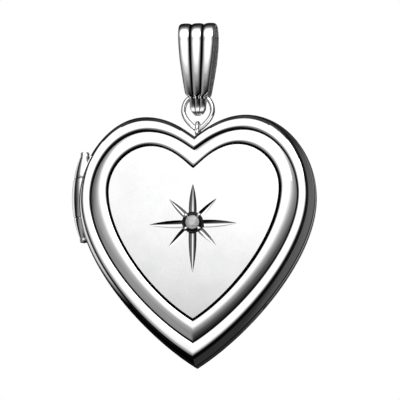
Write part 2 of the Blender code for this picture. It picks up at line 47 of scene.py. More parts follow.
# everything is drawn in millimetres about the heart's centre: x right, z up, depth from the parting line
heart = {
    "lines": (  # cleft z, lobe x, lobe top z, flank x, flank z, tip z
        (8.05, 5.02, 10.22, 11.90, 1.85, -14.96),  # rim, at the foot of the side wall
        (7.93, 5.01, 10.00, 11.34, 1.85, -14.32),  # crease, at the top of the side wall
        (6.56, 4.72, 8.51, 10.31, 1.93, -12.63),  # groove between the border and the ring
        (4.65, 4.39, 7.02, 8.58, 2.60, -10.45),  # groove between the ring and the field
    ),
    "cleftAngle": 31.0, "tipAngle": 58.3, "cleftPull": 0.138, "lobePull": 0.490, "shoulderPull": 0.538,
    "flankTopPull": 0.552, "flankPull": 0.363, "tipPull": 0.360,
    "curveSteps": (120, 120, 180), "halfPoints": 110, "cleftTurns": 12, "nearMiddle": 0.05,
}
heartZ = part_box("back_shell")[0][2] / mm - heart["lines"][0][5]
meshCare = {"weld": 2e-7, "sliver": 1e-7}


def meshPiece(name, points, faces, materials, body=None, sharp=32, faceSlots=None):
    mesh = bpy.data.meshes.new(name)
    mesh.from_pydata([(x * mm, y * mm, z * mm) for x, y, z in points], [], faces)
    for finish in materials:
        mesh.materials.append(finish)
    if faceSlots:
        mesh.polygons.foreach_set("material_index", faceSlots)
    shape = bmesh.new()
    shape.from_mesh(mesh)
    bmesh.ops.recalc_face_normals(shape, faces=shape.faces)
    shape.to_mesh(mesh)
    shape.free()
    mesh.shade_smooth()
    mesh.set_sharp_from_angle(angle=math.radians(sharp))
    piece = bpy.data.objects.new(name, mesh)
    bpy.context.scene.collection.objects.link(piece)
    if body:  # a cutter has none
        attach(piece, body)
    return piece


def between(a, b, t):
    return tuple(start + (end - start) * t for start, end in zip(a, b))


def bezier(start, first, second, end, steps):
    points = []
    for step in range(steps):
        t = step / steps
        weights = ((1 - t) ** 3, 3 * (1 - t) ** 2 * t, 3 * (1 - t) * t * t, t ** 3)
        pulls = (start, first, second, end)
        points.append(tuple(sum(w * pull[i] for w, pull in zip(weights, pulls)) for i in (0, 1)))
    return points


def evenly(points, count):  # the same line with count even steps along its length
    lengths = [0.0]
    for a, b in zip(points, points[1:]):
        lengths.append(lengths[-1] + math.dist(a, b))
    result = []
    place = 0
    for step in range(count + 1):
        target = lengths[-1] * step / count
        while place < len(points) - 2 and lengths[place + 1] < target:
            place += 1
        t = (target - lengths[place]) / (lengths[place + 1] - lengths[place])
        result.append(between(points[place], points[place + 1], t))
    return result


def pinned(half):  # the first and last point stay on the heart's middle line
    return [(0.0, half[0][1])] + half[1:-1] + [(0.0, half[-1][1])]


def mirrored(half):
    return half + [(-x, z) for x, z in reversed(half[1:-1])]


def heartHalf(line):  # right half of a heart, from the cleft over the lobe and the flank to the tip
    cleftZ, lobeX, lobeZ, flankX, flankZ, tipZ = line
    cleftAngle, tipAngle = math.radians(heart["cleftAngle"]), math.radians(heart["tipAngle"])
    lobeSteps, shoulderSteps, flankSteps = heart["curveSteps"]
    reach = heart["cleftPull"] * lobeX
    rise = (reach * math.cos(cleftAngle), cleftZ + reach * math.sin(cleftAngle))
    points = bezier((0.0, cleftZ), rise, (heart["lobePull"] * lobeX, lobeZ), (lobeX, lobeZ), lobeSteps)
    over = (lobeX + heart["shoulderPull"] * (flankX - lobeX), lobeZ)
    turnIn = (flankX, flankZ + heart["flankTopPull"] * (lobeZ - flankZ))
    points += bezier((lobeX, lobeZ), over, turnIn, (flankX, flankZ), shoulderSteps)
    drop = flankZ - tipZ
    reach = heart["tipPull"] * drop
    runIn = (reach * math.sin(tipAngle), tipZ + reach * math.cos(tipAngle))
    runOut = (flankX, flankZ - heart["flankPull"] * drop)
    points += bezier((flankX, flankZ), runOut, runIn, (0.0, tipZ), flankSteps)
    return pinned(evenly(points + [(0.0, tipZ)], heart["halfPoints"]))


def insetHalf(half, distance):  # parallel line inside: round about the cleft, mitred at the tip
    cleftZ = half[0][1]
    turn = math.atan2(half[1][1] - cleftZ, half[1][0])
    points = []
    for i in range(heart["cleftTurns"] + 1):
        angle = turn * i / heart["cleftTurns"]
        points.append((distance * math.sin(angle), cleftZ - distance * math.cos(angle)))
    for before, here, after in zip(half, half[1:], half[2:]):
        length = math.dist(before, after)
        normal = ((after[1] - before[1]) / length, (before[0] - after[0]) / length)
        points.append((here[0] + distance * normal[0], here[1] + distance * normal[1]))
    last, tip = half[-2], half[-1]
    slope = (last[1] - tip[1]) / last[0]
    points = [point for point in points if point[0] > heart["nearMiddle"] or point[1] > 0.0]
    points.append((0.0, tip[1] + distance * math.sqrt(1 + slope * slope)))
    return pinned(evenly(points, heart["halfPoints"]))


heartHalves = [heartHalf(line) for line in heart["lines"]]


def outlineAt(level):  # 0 rim, 1 crease, 2 groove inside the border, 3 groove round the field
    first = min(int(level), 2)
    pairs = zip(heartHalves[first], heartHalves[first + 1])
    return mirrored([between(a, b, level - first) for a, b in pairs])


def insetLoop(distance):
    return mirrored(insetHalf(heartHalves[0], distance))


def flatRing(loop, height):
    return [(x, height, z) for x, z in loop]


def stackPoints(rings, side):
    return [(x, side * height, z + heartZ) for ring in rings for x, height, z in ring]


def stackFaces(ringCount, count, closed=False):
    faces = []
    pairs = [(r, r + 1) for r in range(ringCount - 1)] + ([(ringCount - 1, 0)] if closed else [])
    for a, b in pairs:
        for i in range(count):
            j = (i + 1) % count
            faces.append((a * count + i, a * count + j, b * count + j, b * count + i))
    return faces


def cappedFaces(ringCount, count):  # the same stack with its first and last ring filled in
    total = ringCount * count
    return stackFaces(ringCount, count) + [tuple(range(count)), tuple(range(total - count, total))]


def turnedPiece(name, profile, centre, axis, steps, materials, body=None,
                solid=True, sharp=32):
    points = []  # the profile holds (radius, place along the axis)
    for radius, along in profile:
        for step in range(steps):
            angle = math.tau * step / steps
            a, b = radius * math.cos(angle), radius * math.sin(angle)
            offset = (a, b, along) if axis == "Z" else (a, along, b)
            points.append(tuple(c + o for c, o in zip(centre, offset)))
    faces = cappedFaces(len(profile), steps) if solid else stackFaces(len(profile), steps, closed=True)
    return meshPiece(name, points, faces, materials, body, sharp)


def roundWire(name, path, plane, radius, sides, materials, body):
    points = []
    count = len(path)
    for i, (u, z) in enumerate(path):
        before, after = path[i - 1], path[(i + 1) % count]
        length = math.dist(before, after)
        normal = ((after[1] - before[1]) / length, (before[0] - after[0]) / length)
        for side in range(sides):
            angle = math.tau * side / sides
            out, off = radius * math.cos(angle), radius * math.sin(angle)
            flat = (u + out * normal[0], z + out * normal[1] + heartZ)
            points.append((off, flat[0], flat[1]) if plane == "YZ" else (flat[0], off, flat[1]))
    return meshPiece(name, points, stackFaces(count, sides, closed=True), materials, body)


def cut(piece, cutter, operation="DIFFERENCE", keepCutterFinish=False):
    change = piece.modifiers.new("cut", "BOOLEAN")
    change.operation = operation
    change.object = cutter
    if keepCutterFinish:
        change.material_mode = "TRANSFER"
    bpy.context.view_layer.update()
    seen = piece.evaluated_get(bpy.context.evaluated_depsgraph_get())
    mesh = bpy.data.meshes.new_from_object(seen)
    piece.modifiers.clear()
    old = piece.data
    piece.data = mesh
    bpy.data.meshes.remove(old)
    bpy.data.objects.remove(cutter, do_unlink=True)


def settle(piece, sharp=30):  # smooth shading again after cuts
    shape = bmesh.new()
    shape.from_mesh(piece.data)
    bmesh.ops.remove_doubles(shape, verts=shape.verts, dist=meshCare["weld"])
    bmesh.ops.dissolve_degenerate(shape, edges=shape.edges, dist=meshCare["sliver"])
    shape.to_mesh(piece.data)
    shape.free()
    piece.data.shade_smooth()
    piece.data.set_sharp_from_angle(angle=math.radians(sharp))


def newFinish(name):
    finish = bpy.data.materials.new(name)
    finish.use_nodes = True
    tree = finish.node_tree
    return finish, tree, tree.nodes["Principled BSDF"]


def addNode(tree, kind, **values):
    node = tree.nodes.new(kind)
    for key, value in values.items():
        if key in node.inputs:
            node.inputs[key].default_value = value
        else:
            setattr(node, key, value)
    return node


def grain(tree, stretch, scale, detail=4.0):  # noise in the piece's own millimetres
    place = addNode(tree, "ShaderNodeTexCoord")
    spread = addNode(tree, "ShaderNodeMapping")
    spread.inputs["Scale"].default_value = [value / mm for value in stretch]
    noise = addNode(tree, "ShaderNodeTexNoise", Scale=scale, Detail=detail)
    tree.links.new(place.outputs["Object"], spread.inputs["Vector"])
    tree.links.new(spread.outputs["Vector"], noise.inputs["Vector"])
    return noise.outputs["Fac"]


noiseRange = (0.3, 0.7)  # where nearly all of the noise lies


def span(tree, value, low, high):
    ramp = addNode(tree, "ShaderNodeMapRange")
    ramp.inputs["From Min"].default_value = noiseRange[0]
    ramp.inputs["From Max"].default_value = noiseRange[1]
    ramp.inputs["To Min"].default_value = low
    ramp.inputs["To Max"].default_value = high
    tree.links.new(value, ramp.inputs["Value"])
    return ramp.outputs["Result"]


def tint(tree, value, tones):
    ramp = addNode(tree, "ShaderNodeValToRGB")
    for element, position, tone in zip(ramp.color_ramp.elements, noiseRange, tones):
        element.position = position
        element.color = (*tone, 1)
    tree.links.new(value, ramp.inputs["Fac"])
    return ramp.outputs["Color"]


def bumped(tree, shader, value, depth, strength):
    bump = addNode(tree, "ShaderNodeBump", Strength=strength, Distance=depth * mm)
    tree.links.new(value, bump.inputs["Height"])
    tree.links.new(bump.outputs["Normal"], shader.inputs["Normal"])


cleanTones = ((0.90, 0.90, 0.905), (0.96, 0.96, 0.965))
# near-black base colour: painted shade and painted dark reflection in grooves, gaps, flute valleys and the
# stone's moat
darkTones = ((0.02, 0.02, 0.02), (0.06, 0.059, 0.058))
cloudLook = {"stretch": (1, 1, 1), "scale": 0.5, "detail": 2.0}
silverLooks = {  # the bump's depth is in millimetres
    "polishedSilver": {
        "tones": cleanTones, "roughness": (0.035, 0.075), "stretch": (1, 1, 1.6), "scale": 5.0,
        "depth": 0.002, "strength": 0.10,
    },
    "satinSilver": {
        "tones": cleanTones, "roughness": (0.24, 0.32), "stretch": (14, 14, 1.2), "scale": 2.2,
        "depth": 0.002, "strength": 0.30,
    },
    # painted shade: near-black silver laid where grooves and recesses would fall dark
    "paintedShadeSilver": {
        "tones": darkTones, "roughness": (0.35, 0.5), "stretch": (1, 1, 1), "scale": 9.0,
        "depth": 0.004, "strength": 0.30,
    },
    "brightCutSilver": {
        "tones": cleanTones, "roughness": (0.03, 0.06), "stretch": (1, 1, 1), "scale": 8.0,
        "depth": 0.001, "strength": 0.10,
    },
    "dippedSilver": {
        "tones": cleanTones, "roughness": (0.14, 0.24), "stretch": (1, 1, 1), "scale": 9.0,
        "depth": 0.004, "strength": 0.30,
    },
}


def silver(name):
    look = silverLooks[name]
    finish, tree, shader = newFinish(name)
    shader.inputs["Metallic"].default_value = 1.0
    cloud = grain(tree, cloudLook["stretch"], cloudLook["scale"], cloudLook["detail"])
    tree.links.new(tint(tree, cloud, look["tones"]), shader.inputs["Base Color"])
    marks = grain(tree, look["stretch"], look["scale"])
    tree.links.new(span(tree, marks, *look["roughness"]), shader.inputs["Roughness"])
    bumped(tree, shader, marks, look["depth"], look["strength"])
    return finish


polished, satin, paintedShade, brightCut, inside = [silver(name) for name in silverLooks]
wireLook = {
    "tones": ((0.50, 0.50, 0.52), (0.70, 0.70, 0.72)), "roughness": (0.18, 0.34), "stretch": (20, 20, 1),
    "scale": 2.0, "depth": 0.003, "strength": 0.4,
}
sheetLook = {
    "colour": (0.97, 0.98, 0.98, 1), "refraction": 1.48, "roughness": (0.02, 0.07), "stretch": (1, 1, 1),
    "scale": 1.2, "depth": 0.01, "strength": 0.15,
}
cardLook = {
    "tones": ((0.80, 0.77, 0.71), (0.90, 0.88, 0.83)), "roughness": 0.85, "stretch": (1.0, 1.0, 3.0),
    "scale": 6.0, "detail": 8.0, "depth": 0.02, "strength": 0.5,
}
gemLook = {
    "tones": ((0.95, 0.95, 0.96), (1, 1, 1)), "stretch": (1, 1, 1), "scale": 3.0, "detail": 2.0,
    "clear": 0.4, "refraction": 2.4,
}


def drawnWire():
    finish, tree, shader = newFinish("drawnWire")
    shader.inputs["Metallic"].default_value = 1.0
    lines = grain(tree, wireLook["stretch"], wireLook["scale"])
    tree.links.new(tint(tree, lines, wireLook["tones"]), shader.inputs["Base Color"])
    tree.links.new(span(tree, lines, *wireLook["roughness"]), shader.inputs["Roughness"])
    bumped(tree, shader, lines, wireLook["depth"], wireLook["strength"])
    return finish


def clearAcetate():
    finish, tree, shader = newFinish("clearAcetate")
    shader.inputs["Base Color"].default_value = sheetLook["colour"]
    shader.inputs["Transmission Weight"].default_value = 1.0
    shader.inputs["IOR"].default_value = sheetLook["refraction"]
    haze = grain(tree, sheetLook["stretch"], sheetLook["scale"])
    tree.links.new(span(tree, haze, *sheetLook["roughness"]), shader.inputs["Roughness"])
    bumped(tree, shader, haze, sheetLook["depth"], sheetLook["strength"])
    return finish


def pictureCard():
    finish, tree, shader = newFinish("pictureCard")
    fibre = grain(tree, cardLook["stretch"], cardLook["scale"], cardLook["detail"])
    tree.links.new(tint(tree, fibre, cardLook["tones"]), shader.inputs["Base Color"])
    shader.inputs["Roughness"].default_value = cardLook["roughness"]
    bumped(tree, shader, fibre, cardLook["depth"], cardLook["strength"])
    return finish


def cutStone():
    finish, tree, shader = newFinish("cutStone")
    cloud = grain(tree, gemLook["stretch"], gemLook["scale"], gemLook["detail"])
    tree.links.new(tint(tree, cloud, gemLook["tones"]), shader.inputs["Base Color"])
    shader.inputs["Transmission Weight"].default_value = gemLook["clear"]
    shader.inputs["IOR"].default_value = gemLook["refraction"]
    shader.inputs["Roughness"].default_value = 0.0
    return finish


hingeBox = {name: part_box(name) for name in ("back_knuckle_lower", "front_knuckle", "back_knuckle_upper")}
hinge = {
    "x": 0.5 * (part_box("hinge_pin")[0][0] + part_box("hinge_pin")[1][0]) / mm,
    "low": hingeBox["back_knuckle_lower"][0][2] / mm - heartZ,
    "high": hingeBox["back_knuckle_upper"][1][2] / mm - heartZ,
    "middleZ": 2.40, "radius": 1.25, "curve": 11.0, "endRadius": 0.45, "boreRadius": 0.23, "edge": 0.06,
    "wallAngle": 104.0, "clearance": 0.05, "wedgeClearance": 0.08, "wedgeReach": 6.0, "wedgePast": 0.5,
    "cutterSteps": 40, "cutterSides": 72, "knuckleSteps": 19, "knuckleSides": 64,
}


def barrelRadius(z):
    sag = hinge["curve"] - math.sqrt(hinge["curve"] ** 2 - (z - hinge["middleZ"]) ** 2)
    return max(hinge["endRadius"], hinge["radius"] - sag)


def barrelCutter():
    low, high = hinge["low"] - hinge["clearance"], hinge["high"] + hinge["clearance"]
    heights = [low + (high - low) * i / hinge["cutterSteps"] for i in range(hinge["cutterSteps"] + 1)]
    profile = [(barrelRadius(z) + hinge["clearance"], z) for z in heights]
    centre = (hinge["x"], 0.0, heartZ)
    return turnedPiece("barrelCutter", profile, centre, "Z", hinge["cutterSides"], [polished])


def wedgeCutter(side):  # clears the wall beside the barrel, a little taller than the barrel's cutter
    reach, x = hinge["wedgeReach"], hinge["x"]
    wallAngle = math.radians(hinge["wallAngle"])
    edge = (x + reach * math.cos(wallAngle), side * reach * math.sin(wallAngle))
    corners = [(x, 0.0), edge, (x - reach, side * reach), (x - reach, -side * hinge["wedgePast"])]
    ends = (hinge["low"] - hinge["wedgeClearance"], hinge["high"] + hinge["wedgeClearance"])
    points = [(px, py, z + heartZ) for z in ends for px, py in corners]
    return meshPiece("wedgeCutter", points, cappedFaces(2, len(corners)), [polished])


# profile points are (outline level, height), where a level is 0 at the rim to 3 at the field's groove
cover = {
    "seatInset": 0.42, "seatHeights": (0.02, 0.6, 1.25), "hollow": ((0.75, 1.70), (1.30, 1.95)),
    "starZ": -0.85,
    "domeTop": 3.0, "domeRadius": 120.0, "domeWall": 0.4, "domeFactors": (0.95, 0.7, 0.4, 0.15),
    "parting": ((0.17, 0.02), (0.14, 0.04), (0.05, 0.12), (0.01, 0.20), (0.0, 0.28)),
    "wallFoot": 0.28, "wallRise": 1.74, "wallLean": 0.92, "wallCurve": 1.7, "wallSteps": 12, "crease": 2.04,
    "borderRise": 0.45, "borderTilt": 0.03, "borderSquare": 5.0, "borderEdge": 0.45, "borderSteps": 32,
    "ringFace": ((2.0, 2.08), (2.008, 2.21), (2.016, 2.31)), "ringStart": 2.028, "ringCrest": 2.70,
    "ringEdge": 2.36, "ringTop": 2.665, "ringSteps": 18,
    "ringFall": (  # outline level, drop below the ring's top
        (2.75, 0.002), (2.80, 0.010), (2.84, 0.022), (2.88, 0.042), (2.90, 0.066), (2.912, 0.11),
        (2.955, 0.25),
    ),
    "fieldSteps": 10, "fieldFactors": (0.94, 0.96, 0.975, 0.989), "fieldEdge": 0.995, "fieldDrop": 0.10,
    "grooves": ((0.03, 0.15), (0.86, 1.14), (1.885, 2.025), (2.905, 3.0)),  # levels that get the painted shade
    "topShade": 0.17,  # how much wider the painted shade at the border's outer groove is where it faces up
    "lipTopZ": -8.70, "lipHeight": 0.35, "lipGap": 0.04,
    "reliefReach": 12.0, "reliefBottom": -16.0, "reliefBack": 0.5,
}
coverSlots = {"polished": 0, "satin": 1, "inside": 2, "cut": 3, "paintedShade": 4}


def domeHeight(x, z):
    return cover["domeTop"] - (x * x + (z - cover["starZ"]) ** 2) / (2 * cover["domeRadius"])


def aboutStar(loop, factor):
    return [(x * factor, cover["starZ"] + (z - cover["starZ"]) * factor) for x, z in loop]


def domeRing(factor, drop=0.0):
    return [(x, domeHeight(x, z) - drop, z) for x, z in aboutStar(outlineAt(3.0), factor)]


def wallProfile():  # from the parting line up the side wall to the crease
    wall = list(cover["parting"])
    for i in range(1, cover["wallSteps"] + 1):
        t = i / cover["wallSteps"]
        wall.append((cover["wallLean"] * t ** cover["wallCurve"], cover["wallFoot"] + cover["wallRise"] * t))
    return wall + [(1.0, cover["crease"])]


def borderProfile():  # flat-topped, with steep edges
    border = []
    for i in range(1, cover["borderSteps"]):
        across = -math.cos(math.pi * i / cover["borderSteps"])
        crown = (1.0 - abs(across) ** cover["borderSquare"]) ** cover["borderEdge"]
        height = cover["crease"] + cover["borderTilt"] * (1 + across) + cover["borderRise"] * crown
        border.append((1.5 + 0.5 * across, height))
    return border


def ringProfile():  # a steep foot, then a low crown that falls to the field's groove
    ring = list(cover["ringFace"])
    start, crest, top = cover["ringStart"], cover["ringCrest"], cover["ringTop"]
    for i in range(cover["ringSteps"] + 1):
        ahead = 1.0 - i / cover["ringSteps"]
        ring.append((start + (crest - start) * (1.0 - ahead), top - (top - cover["ringEdge"]) * ahead ** 2))
    return ring + [(level, top - drop) for level, drop in cover["ringFall"]]


def hollowRings(hollow):  # the seat behind the rim, then the inside of the shell
    rings = [flatRing(insetLoop(cover["seatInset"]), height) for height in cover["seatHeights"]]
    return rings + [flatRing(insetLoop(inset), height) for inset, height in hollow]


def closeWithFan(points, faces, slots, ring, count, y, slotIndex):
    points.append((0.0, y, cover["starZ"] + heartZ))
    for i in range(count):
        faces.append((ring * count + i, ring * count + (i + 1) % count, len(points) - 1))
        slots.append(slotIndex)


def profileSlots(levels, count):  # painted shade in the grooves, and on the edges that face up
    edge = outlineAt(1.0)
    slots = []
    for first, second in zip(levels, levels[1:]):
        middle = 0.5 * (first + second)
        dark = any(low < middle < high for low, high in cover["grooves"])
        for i in range(count):
            (ax, az), (bx, bz) = edge[i - 1], edge[(i + 1) % count]
            upward = max(0.0, (bx - ax) / math.dist((ax, az), (bx, bz)))
            # the painted shade band reaches further over the border where the edge faces up
            onTop = 1.0 < middle < cover["grooves"][1][1] + cover["topShade"] * upward
            slots.append(coverSlots["paintedShade"] if dark or onTop else coverSlots["polished"])
    return slots


def frontCover():
    profile = list(reversed(wallProfile() + borderProfile() + ringProfile()))
    rings = [flatRing(outlineAt(level), height) for level, height in profile]
    even = [i / cover["fieldSteps"] for i in range(1, cover["fieldSteps"])]
    field = [domeRing(factor) for factor in even + list(cover["fieldFactors"])]
    field.append(domeRing(cover["fieldEdge"], cover["fieldDrop"]))
    inner = hollowRings(cover["hollow"])
    inner += [domeRing(factor, cover["domeWall"]) for factor in cover["domeFactors"]]
    stack = field + rings + inner
    count = len(stack[0])
    points = stackPoints(stack, -1)
    faces = stackFaces(len(stack), count)
    # the field's last faces, down into the groove round the field, get painted shade
    slots = [coverSlots["satin"]] * (count * (len(field) - 2)) + [coverSlots["paintedShade"]] * (2 * count)
    slots += profileSlots([level for level, height in profile], count)
    slots += [coverSlots["inside"]] * (count * len(inner))
    closeWithFan(points, faces, slots, 0, count, -cover["domeTop"], coverSlots["satin"])
    innerTop = cover["domeTop"] - cover["domeWall"]
    closeWithFan(points, faces, slots, len(stack) - 1, count, -innerTop, coverSlots["inside"])
    finishes = [polished, satin, inside, brightCut, paintedShade]
    shell = meshPiece("frontCover", points, faces, finishes, "front_cover", 30, slots)
    cut(shell, barrelCutter())
    cut(shell, wedgeCutter(-1))
    cut(shell, lipRelief())
    for ray, length in enumerate(star["rays"]):
        width = star["shortHalfWidth"] if ray % 2 else star["halfWidth"]
        cut(shell, rayCutter(ray * math.tau / len(star["rays"]), length, width), keepCutterFinish=True)
    hole = [(star["pegHole"], depth) for depth in star["pegDepths"]]
    centre = (0, 0, heartZ + cover["starZ"])
    cut(shell, turnedPiece("pegHoleCutter", hole, centre, "Y", star["pegSides"], [inside]))
    settle(shell)
    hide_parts("front_shell")


def lipRelief():  # room at the tip for the opening lip
    depths = (-cover["lipHeight"] - cover["lipGap"], cover["reliefBack"])
    heights = (heartZ + cover["reliefBottom"], heartZ + cover["lipTopZ"])
    reach = cover["reliefReach"]
    points = [(x, y, z) for z in heights for y in depths for x in (-reach, reach)]
    faces = [(0, 1, 3, 2), (4, 5, 7, 6), (0, 1, 5, 4), (2, 3, 7, 6), (0, 2, 6, 4), (1, 3, 7, 5)]
    return meshPiece("lipRelief", points, faces, [polished])


star = {
    "rays": (4.40, 3.35, 3.85, 3.35, 4.40, 3.35, 5.00, 3.35),  # lengths, anticlockwise from the right
    "halfWidth": 0.40, "shortHalfWidth": 0.31, "depth": 0.22, "start": 0.55, "stations": 22,
    "section": (-1.0, -0.75, -0.5, -0.25, -0.08, 0.08, 0.25, 0.5, 0.75, 1.0), "sectionCurve": 1.35,
    "swellStart": 0.36, "swellCurve": 0.8, "leastSwell": 0.02, "overhang": 1.25, "above": 0.12,
    "levelDrop": 0.16,  # how far below the stone's middle the level rays run
    "pegHole": 0.53, "pegDepths": (-4.0, -1.0), "pegSides": 48,
}


def rayCutter(angle, length, halfWidth):  # a graver's spindle cut: rounded bottom, pointed at the tip
    along = (math.cos(angle), math.sin(angle))
    across = (-along[1], along[0])
    points = []
    for i in range(star["stations"] + 1):
        t = i / star["stations"]
        place = star["start"] + (length - star["start"]) * t
        bulge = math.sin(math.pi * min(1.0, star["swellStart"] + (1.0 - star["swellStart"]) * t))
        swell = max(star["leastSwell"], bulge ** star["swellCurve"])
        width, depth = halfWidth * swell, star["depth"] * swell
        x = along[0] * place
        z = cover["starZ"] + along[1] * place - star["levelDrop"] * along[0] ** 8
        surface = domeHeight(x, z)
        row = [(u, surface - depth * (1 - abs(u) ** star["sectionCurve"])) for u in star["section"]]
        row += [(u, surface + star["above"]) for u in (star["overhang"], -star["overhang"])]
        for u, height in row:
            points.append((x + across[0] * width * u, -height, z + across[1] * width * u + heartZ))
    faces = cappedFaces(star["stations"] + 1, len(star["section"]) + 2)
    return meshPiece("rayCutter", points, faces, [brightCut])


backLook = {
    "top": 2.8, "wall": 0.38, "hollow": ((0.75, 1.75), (1.30, 2.18)), "innerLevel": 2.3,
    "shoulderReach": 1.25, "shoulderCurve": 0.9, "shoulderRise": 0.76, "shoulderSteps": 15,
    "flatLevel": 2.25, "flatFactors": (0.3, 0.6, 0.85),
}
lipLook = {"level": 0.02, "inset": 0.38, "soft": 0.05, "side": 0.3, "endGap": 0.05}
backSlots = {"polished": 0, "inside": 1, "paintedShade": 2}


def backCover():
    profile = wallProfile()
    for i in range(1, backLook["shoulderSteps"] + 1):
        angle = 0.5 * math.pi * i / backLook["shoulderSteps"]
        level = 1.0 + backLook["shoulderReach"] * (1 - math.cos(angle)) ** backLook["shoulderCurve"]
        profile.append((level, cover["crease"] + backLook["shoulderRise"] * math.sin(angle)))
    profile.reverse()
    rings = [flatRing(outlineAt(level), height) for level, height in profile]
    innerTop = backLook["top"] - backLook["wall"]
    inner = hollowRings(backLook["hollow"]) + [flatRing(outlineAt(backLook["innerLevel"]), innerTop)]
    flatLoops = [aboutStar(outlineAt(backLook["flatLevel"]), factor) for factor in backLook["flatFactors"]]
    flat = [flatRing(loop, backLook["top"]) for loop in flatLoops]
    stack = flat + rings + inner
    count = len(stack[0])
    points = stackPoints(stack, 1)
    faces = stackFaces(len(stack), count)
    slots = [backSlots["polished"]] * (count * len(flat))
    # painted shade along the parting groove at the rim
    low, high = cover["grooves"][0]
    for (first, _), (second, _) in zip(profile, profile[1:]):
        dark = low < 0.5 * (first + second) < high
        slots += [backSlots["paintedShade" if dark else "polished"]] * count
    slots += [backSlots["inside"]] * (count * len(inner))
    closeWithFan(points, faces, slots, 0, count, backLook["top"], backSlots["polished"])
    closeWithFan(points, faces, slots, len(stack) - 1, count, innerTop, backSlots["inside"])
    finishes = [polished, inside, paintedShade]
    shell = meshPiece("backCover", points, faces, finishes, "back_half", 30, slots)
    cut(shell, barrelCutter())
    cut(shell, wedgeCutter(1))
    settle(shell)
    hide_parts("back_shell")


def openingLip():
    outer, innerLine = outlineAt(lipLook["level"]), insetLoop(lipLook["inset"])
    low, high, soft, side = -cover["lipHeight"], 0.0, lipLook["soft"], lipLook["side"]
    section = [(0.0, high), (0.0, low + soft), (side * soft, low + side * soft), (soft, low)]
    section += [(1 - soft, low), (1.0, low + soft), (1.0, high)]
    points = []
    for outerPoint, innerPoint in zip(outer, innerLine):
        if innerPoint[1] < cover["lipTopZ"] - lipLook["endGap"]:  # only near the tip
            for t, y in section:
                x, z = between(outerPoint, innerPoint, t)
                points.append((x, y, z + heartZ))
    faces = cappedFaces(len(points) // len(section), len(section))
    lip = meshPiece("openingLip", points, faces, [polished], "back_half")
    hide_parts("opening_lip")


def knuckleBarrel(name, node, body):
    low, high = (corner[2] / mm - heartZ for corner in hingeBox[node])
    edge, steps = hinge["edge"], hinge["knuckleSteps"]
    profile = [(hinge["boreRadius"], low), (hinge["boreRadius"], high), (barrelRadius(high) - edge, high)]
    for i in range(1, steps):
        z = high + (low - high) * i / steps
        profile.append((barrelRadius(z), z))
    profile.append((barrelRadius(low) - edge, low))
    centre = (hinge["x"], 0.0, heartZ)
    barrel = turnedPiece(name, profile, centre, "Z", hinge["knuckleSides"], [polished], body,
                         solid=False, sharp=40)
    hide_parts(node)


setting = {
    "profile": (  # radius, height: peg, underside, rim, moat, collar and the stone's seat
        (0.25, 2.45), (0.50, 2.45), (0.50, 3.03), (1.06, 3.03), (1.06, 3.08), (1.01, 3.10), (0.93, 3.07),
        (0.86, 3.10), (0.82, 3.18), (0.76, 3.22), (0.70, 3.21), (0.68, 3.16), (0.27, 2.85),
    ),
    "moat": (0.72, 1.07), "under": 3.03, "sides": 64,
    "prongs": 4, "prongTop": 3.20, "prongReach": 0.93, "prongRadius": 0.20, "prongStretch": 1.18,
    "prongRings": 12, "prongSteps": 24,
}
gem = {
    "girdle": 3.20, "facets": 8,
    "layers": (  # radius, height over the girdle, turn in facets
        (0.34, 0.22, 0.5), (0.53, 0.13, 0.0), (0.68, 0.02, 0.0), (0.68, 0.02, 0.5),
        (0.68, 0.0, 0.0), (0.68, 0.0, 0.5), (0.30, -0.24, 0.0), (0.02, -0.42, 0.5),
    ),
}


def stoneSetting():
    profile = [(radius, -height) for radius, height in setting["profile"]]
    centre = (0.0, 0.0, heartZ + cover["starZ"])
    finishes = [brightCut, paintedShade]
    plate = turnedPiece("stoneSetting", profile, centre, "Y", setting["sides"], finishes, "front_cover",
                        solid=False)
    # the moat round the collar gets painted shadow
    low, high = setting["moat"]
    for face in plate.data.polygons:
        away = math.hypot(face.center[0], face.center[2] - centre[2] * mm) / mm
        if low < away < high and -face.center[1] / mm > setting["under"]:
            face.material_index = 1
    for prong in range(setting["prongs"]):
        cut(plate, prongBead(math.tau * (prong + 0.5) / setting["prongs"]), "UNION")
    settle(plate, 34)
    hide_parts("stone_setting")


def prongBead(angle):  # a long bead raised from the plate and pushed over the stone's edge
    points = []
    rings, steps, radius = setting["prongRings"], setting["prongSteps"], setting["prongRadius"]
    for i in range(1, rings):
        tilt = math.pi * i / rings
        for step in range(steps):
            turn = math.tau * step / steps
            side = radius * math.sin(tilt) * math.sin(turn)
            up = radius * math.cos(tilt)
            reach = setting["prongReach"] + radius * setting["prongStretch"] * math.sin(tilt) * math.cos(turn)
            x = reach * math.cos(angle) - side * math.sin(angle)
            z = reach * math.sin(angle) + side * math.cos(angle)
            points.append((x, -(setting["prongTop"] + up), z + heartZ + cover["starZ"]))
    return meshPiece("prongBead", points, cappedFaces(rings - 1, steps), [brightCut])


def cutDiamond():
    shape = bmesh.new()
    for radius, height, turn in gem["layers"]:
        for i in range(gem["facets"]):
            angle = math.tau * (i + turn) / gem["facets"]
            x, z = radius * math.cos(angle), heartZ + cover["starZ"] + radius * math.sin(angle)
            shape.verts.new([value * mm for value in (x, -(gem["girdle"] + height), z)])
    bmesh.ops.convex_hull(shape, input=shape.verts)
    bmesh.ops.dissolve_limit(shape, angle_limit=math.radians(1.0), verts=shape.verts, edges=shape.edges)
    mesh = bpy.data.meshes.new("cutDiamond")
    shape.to_mesh(mesh)
    shape.free()
    mesh.materials.append(cutStone())
    diamond = bpy.data.objects.new("cutDiamond", mesh)
    bpy.context.scene.collection.objects.link(diamond)
    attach(diamond, "front_cover")
    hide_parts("diamond")


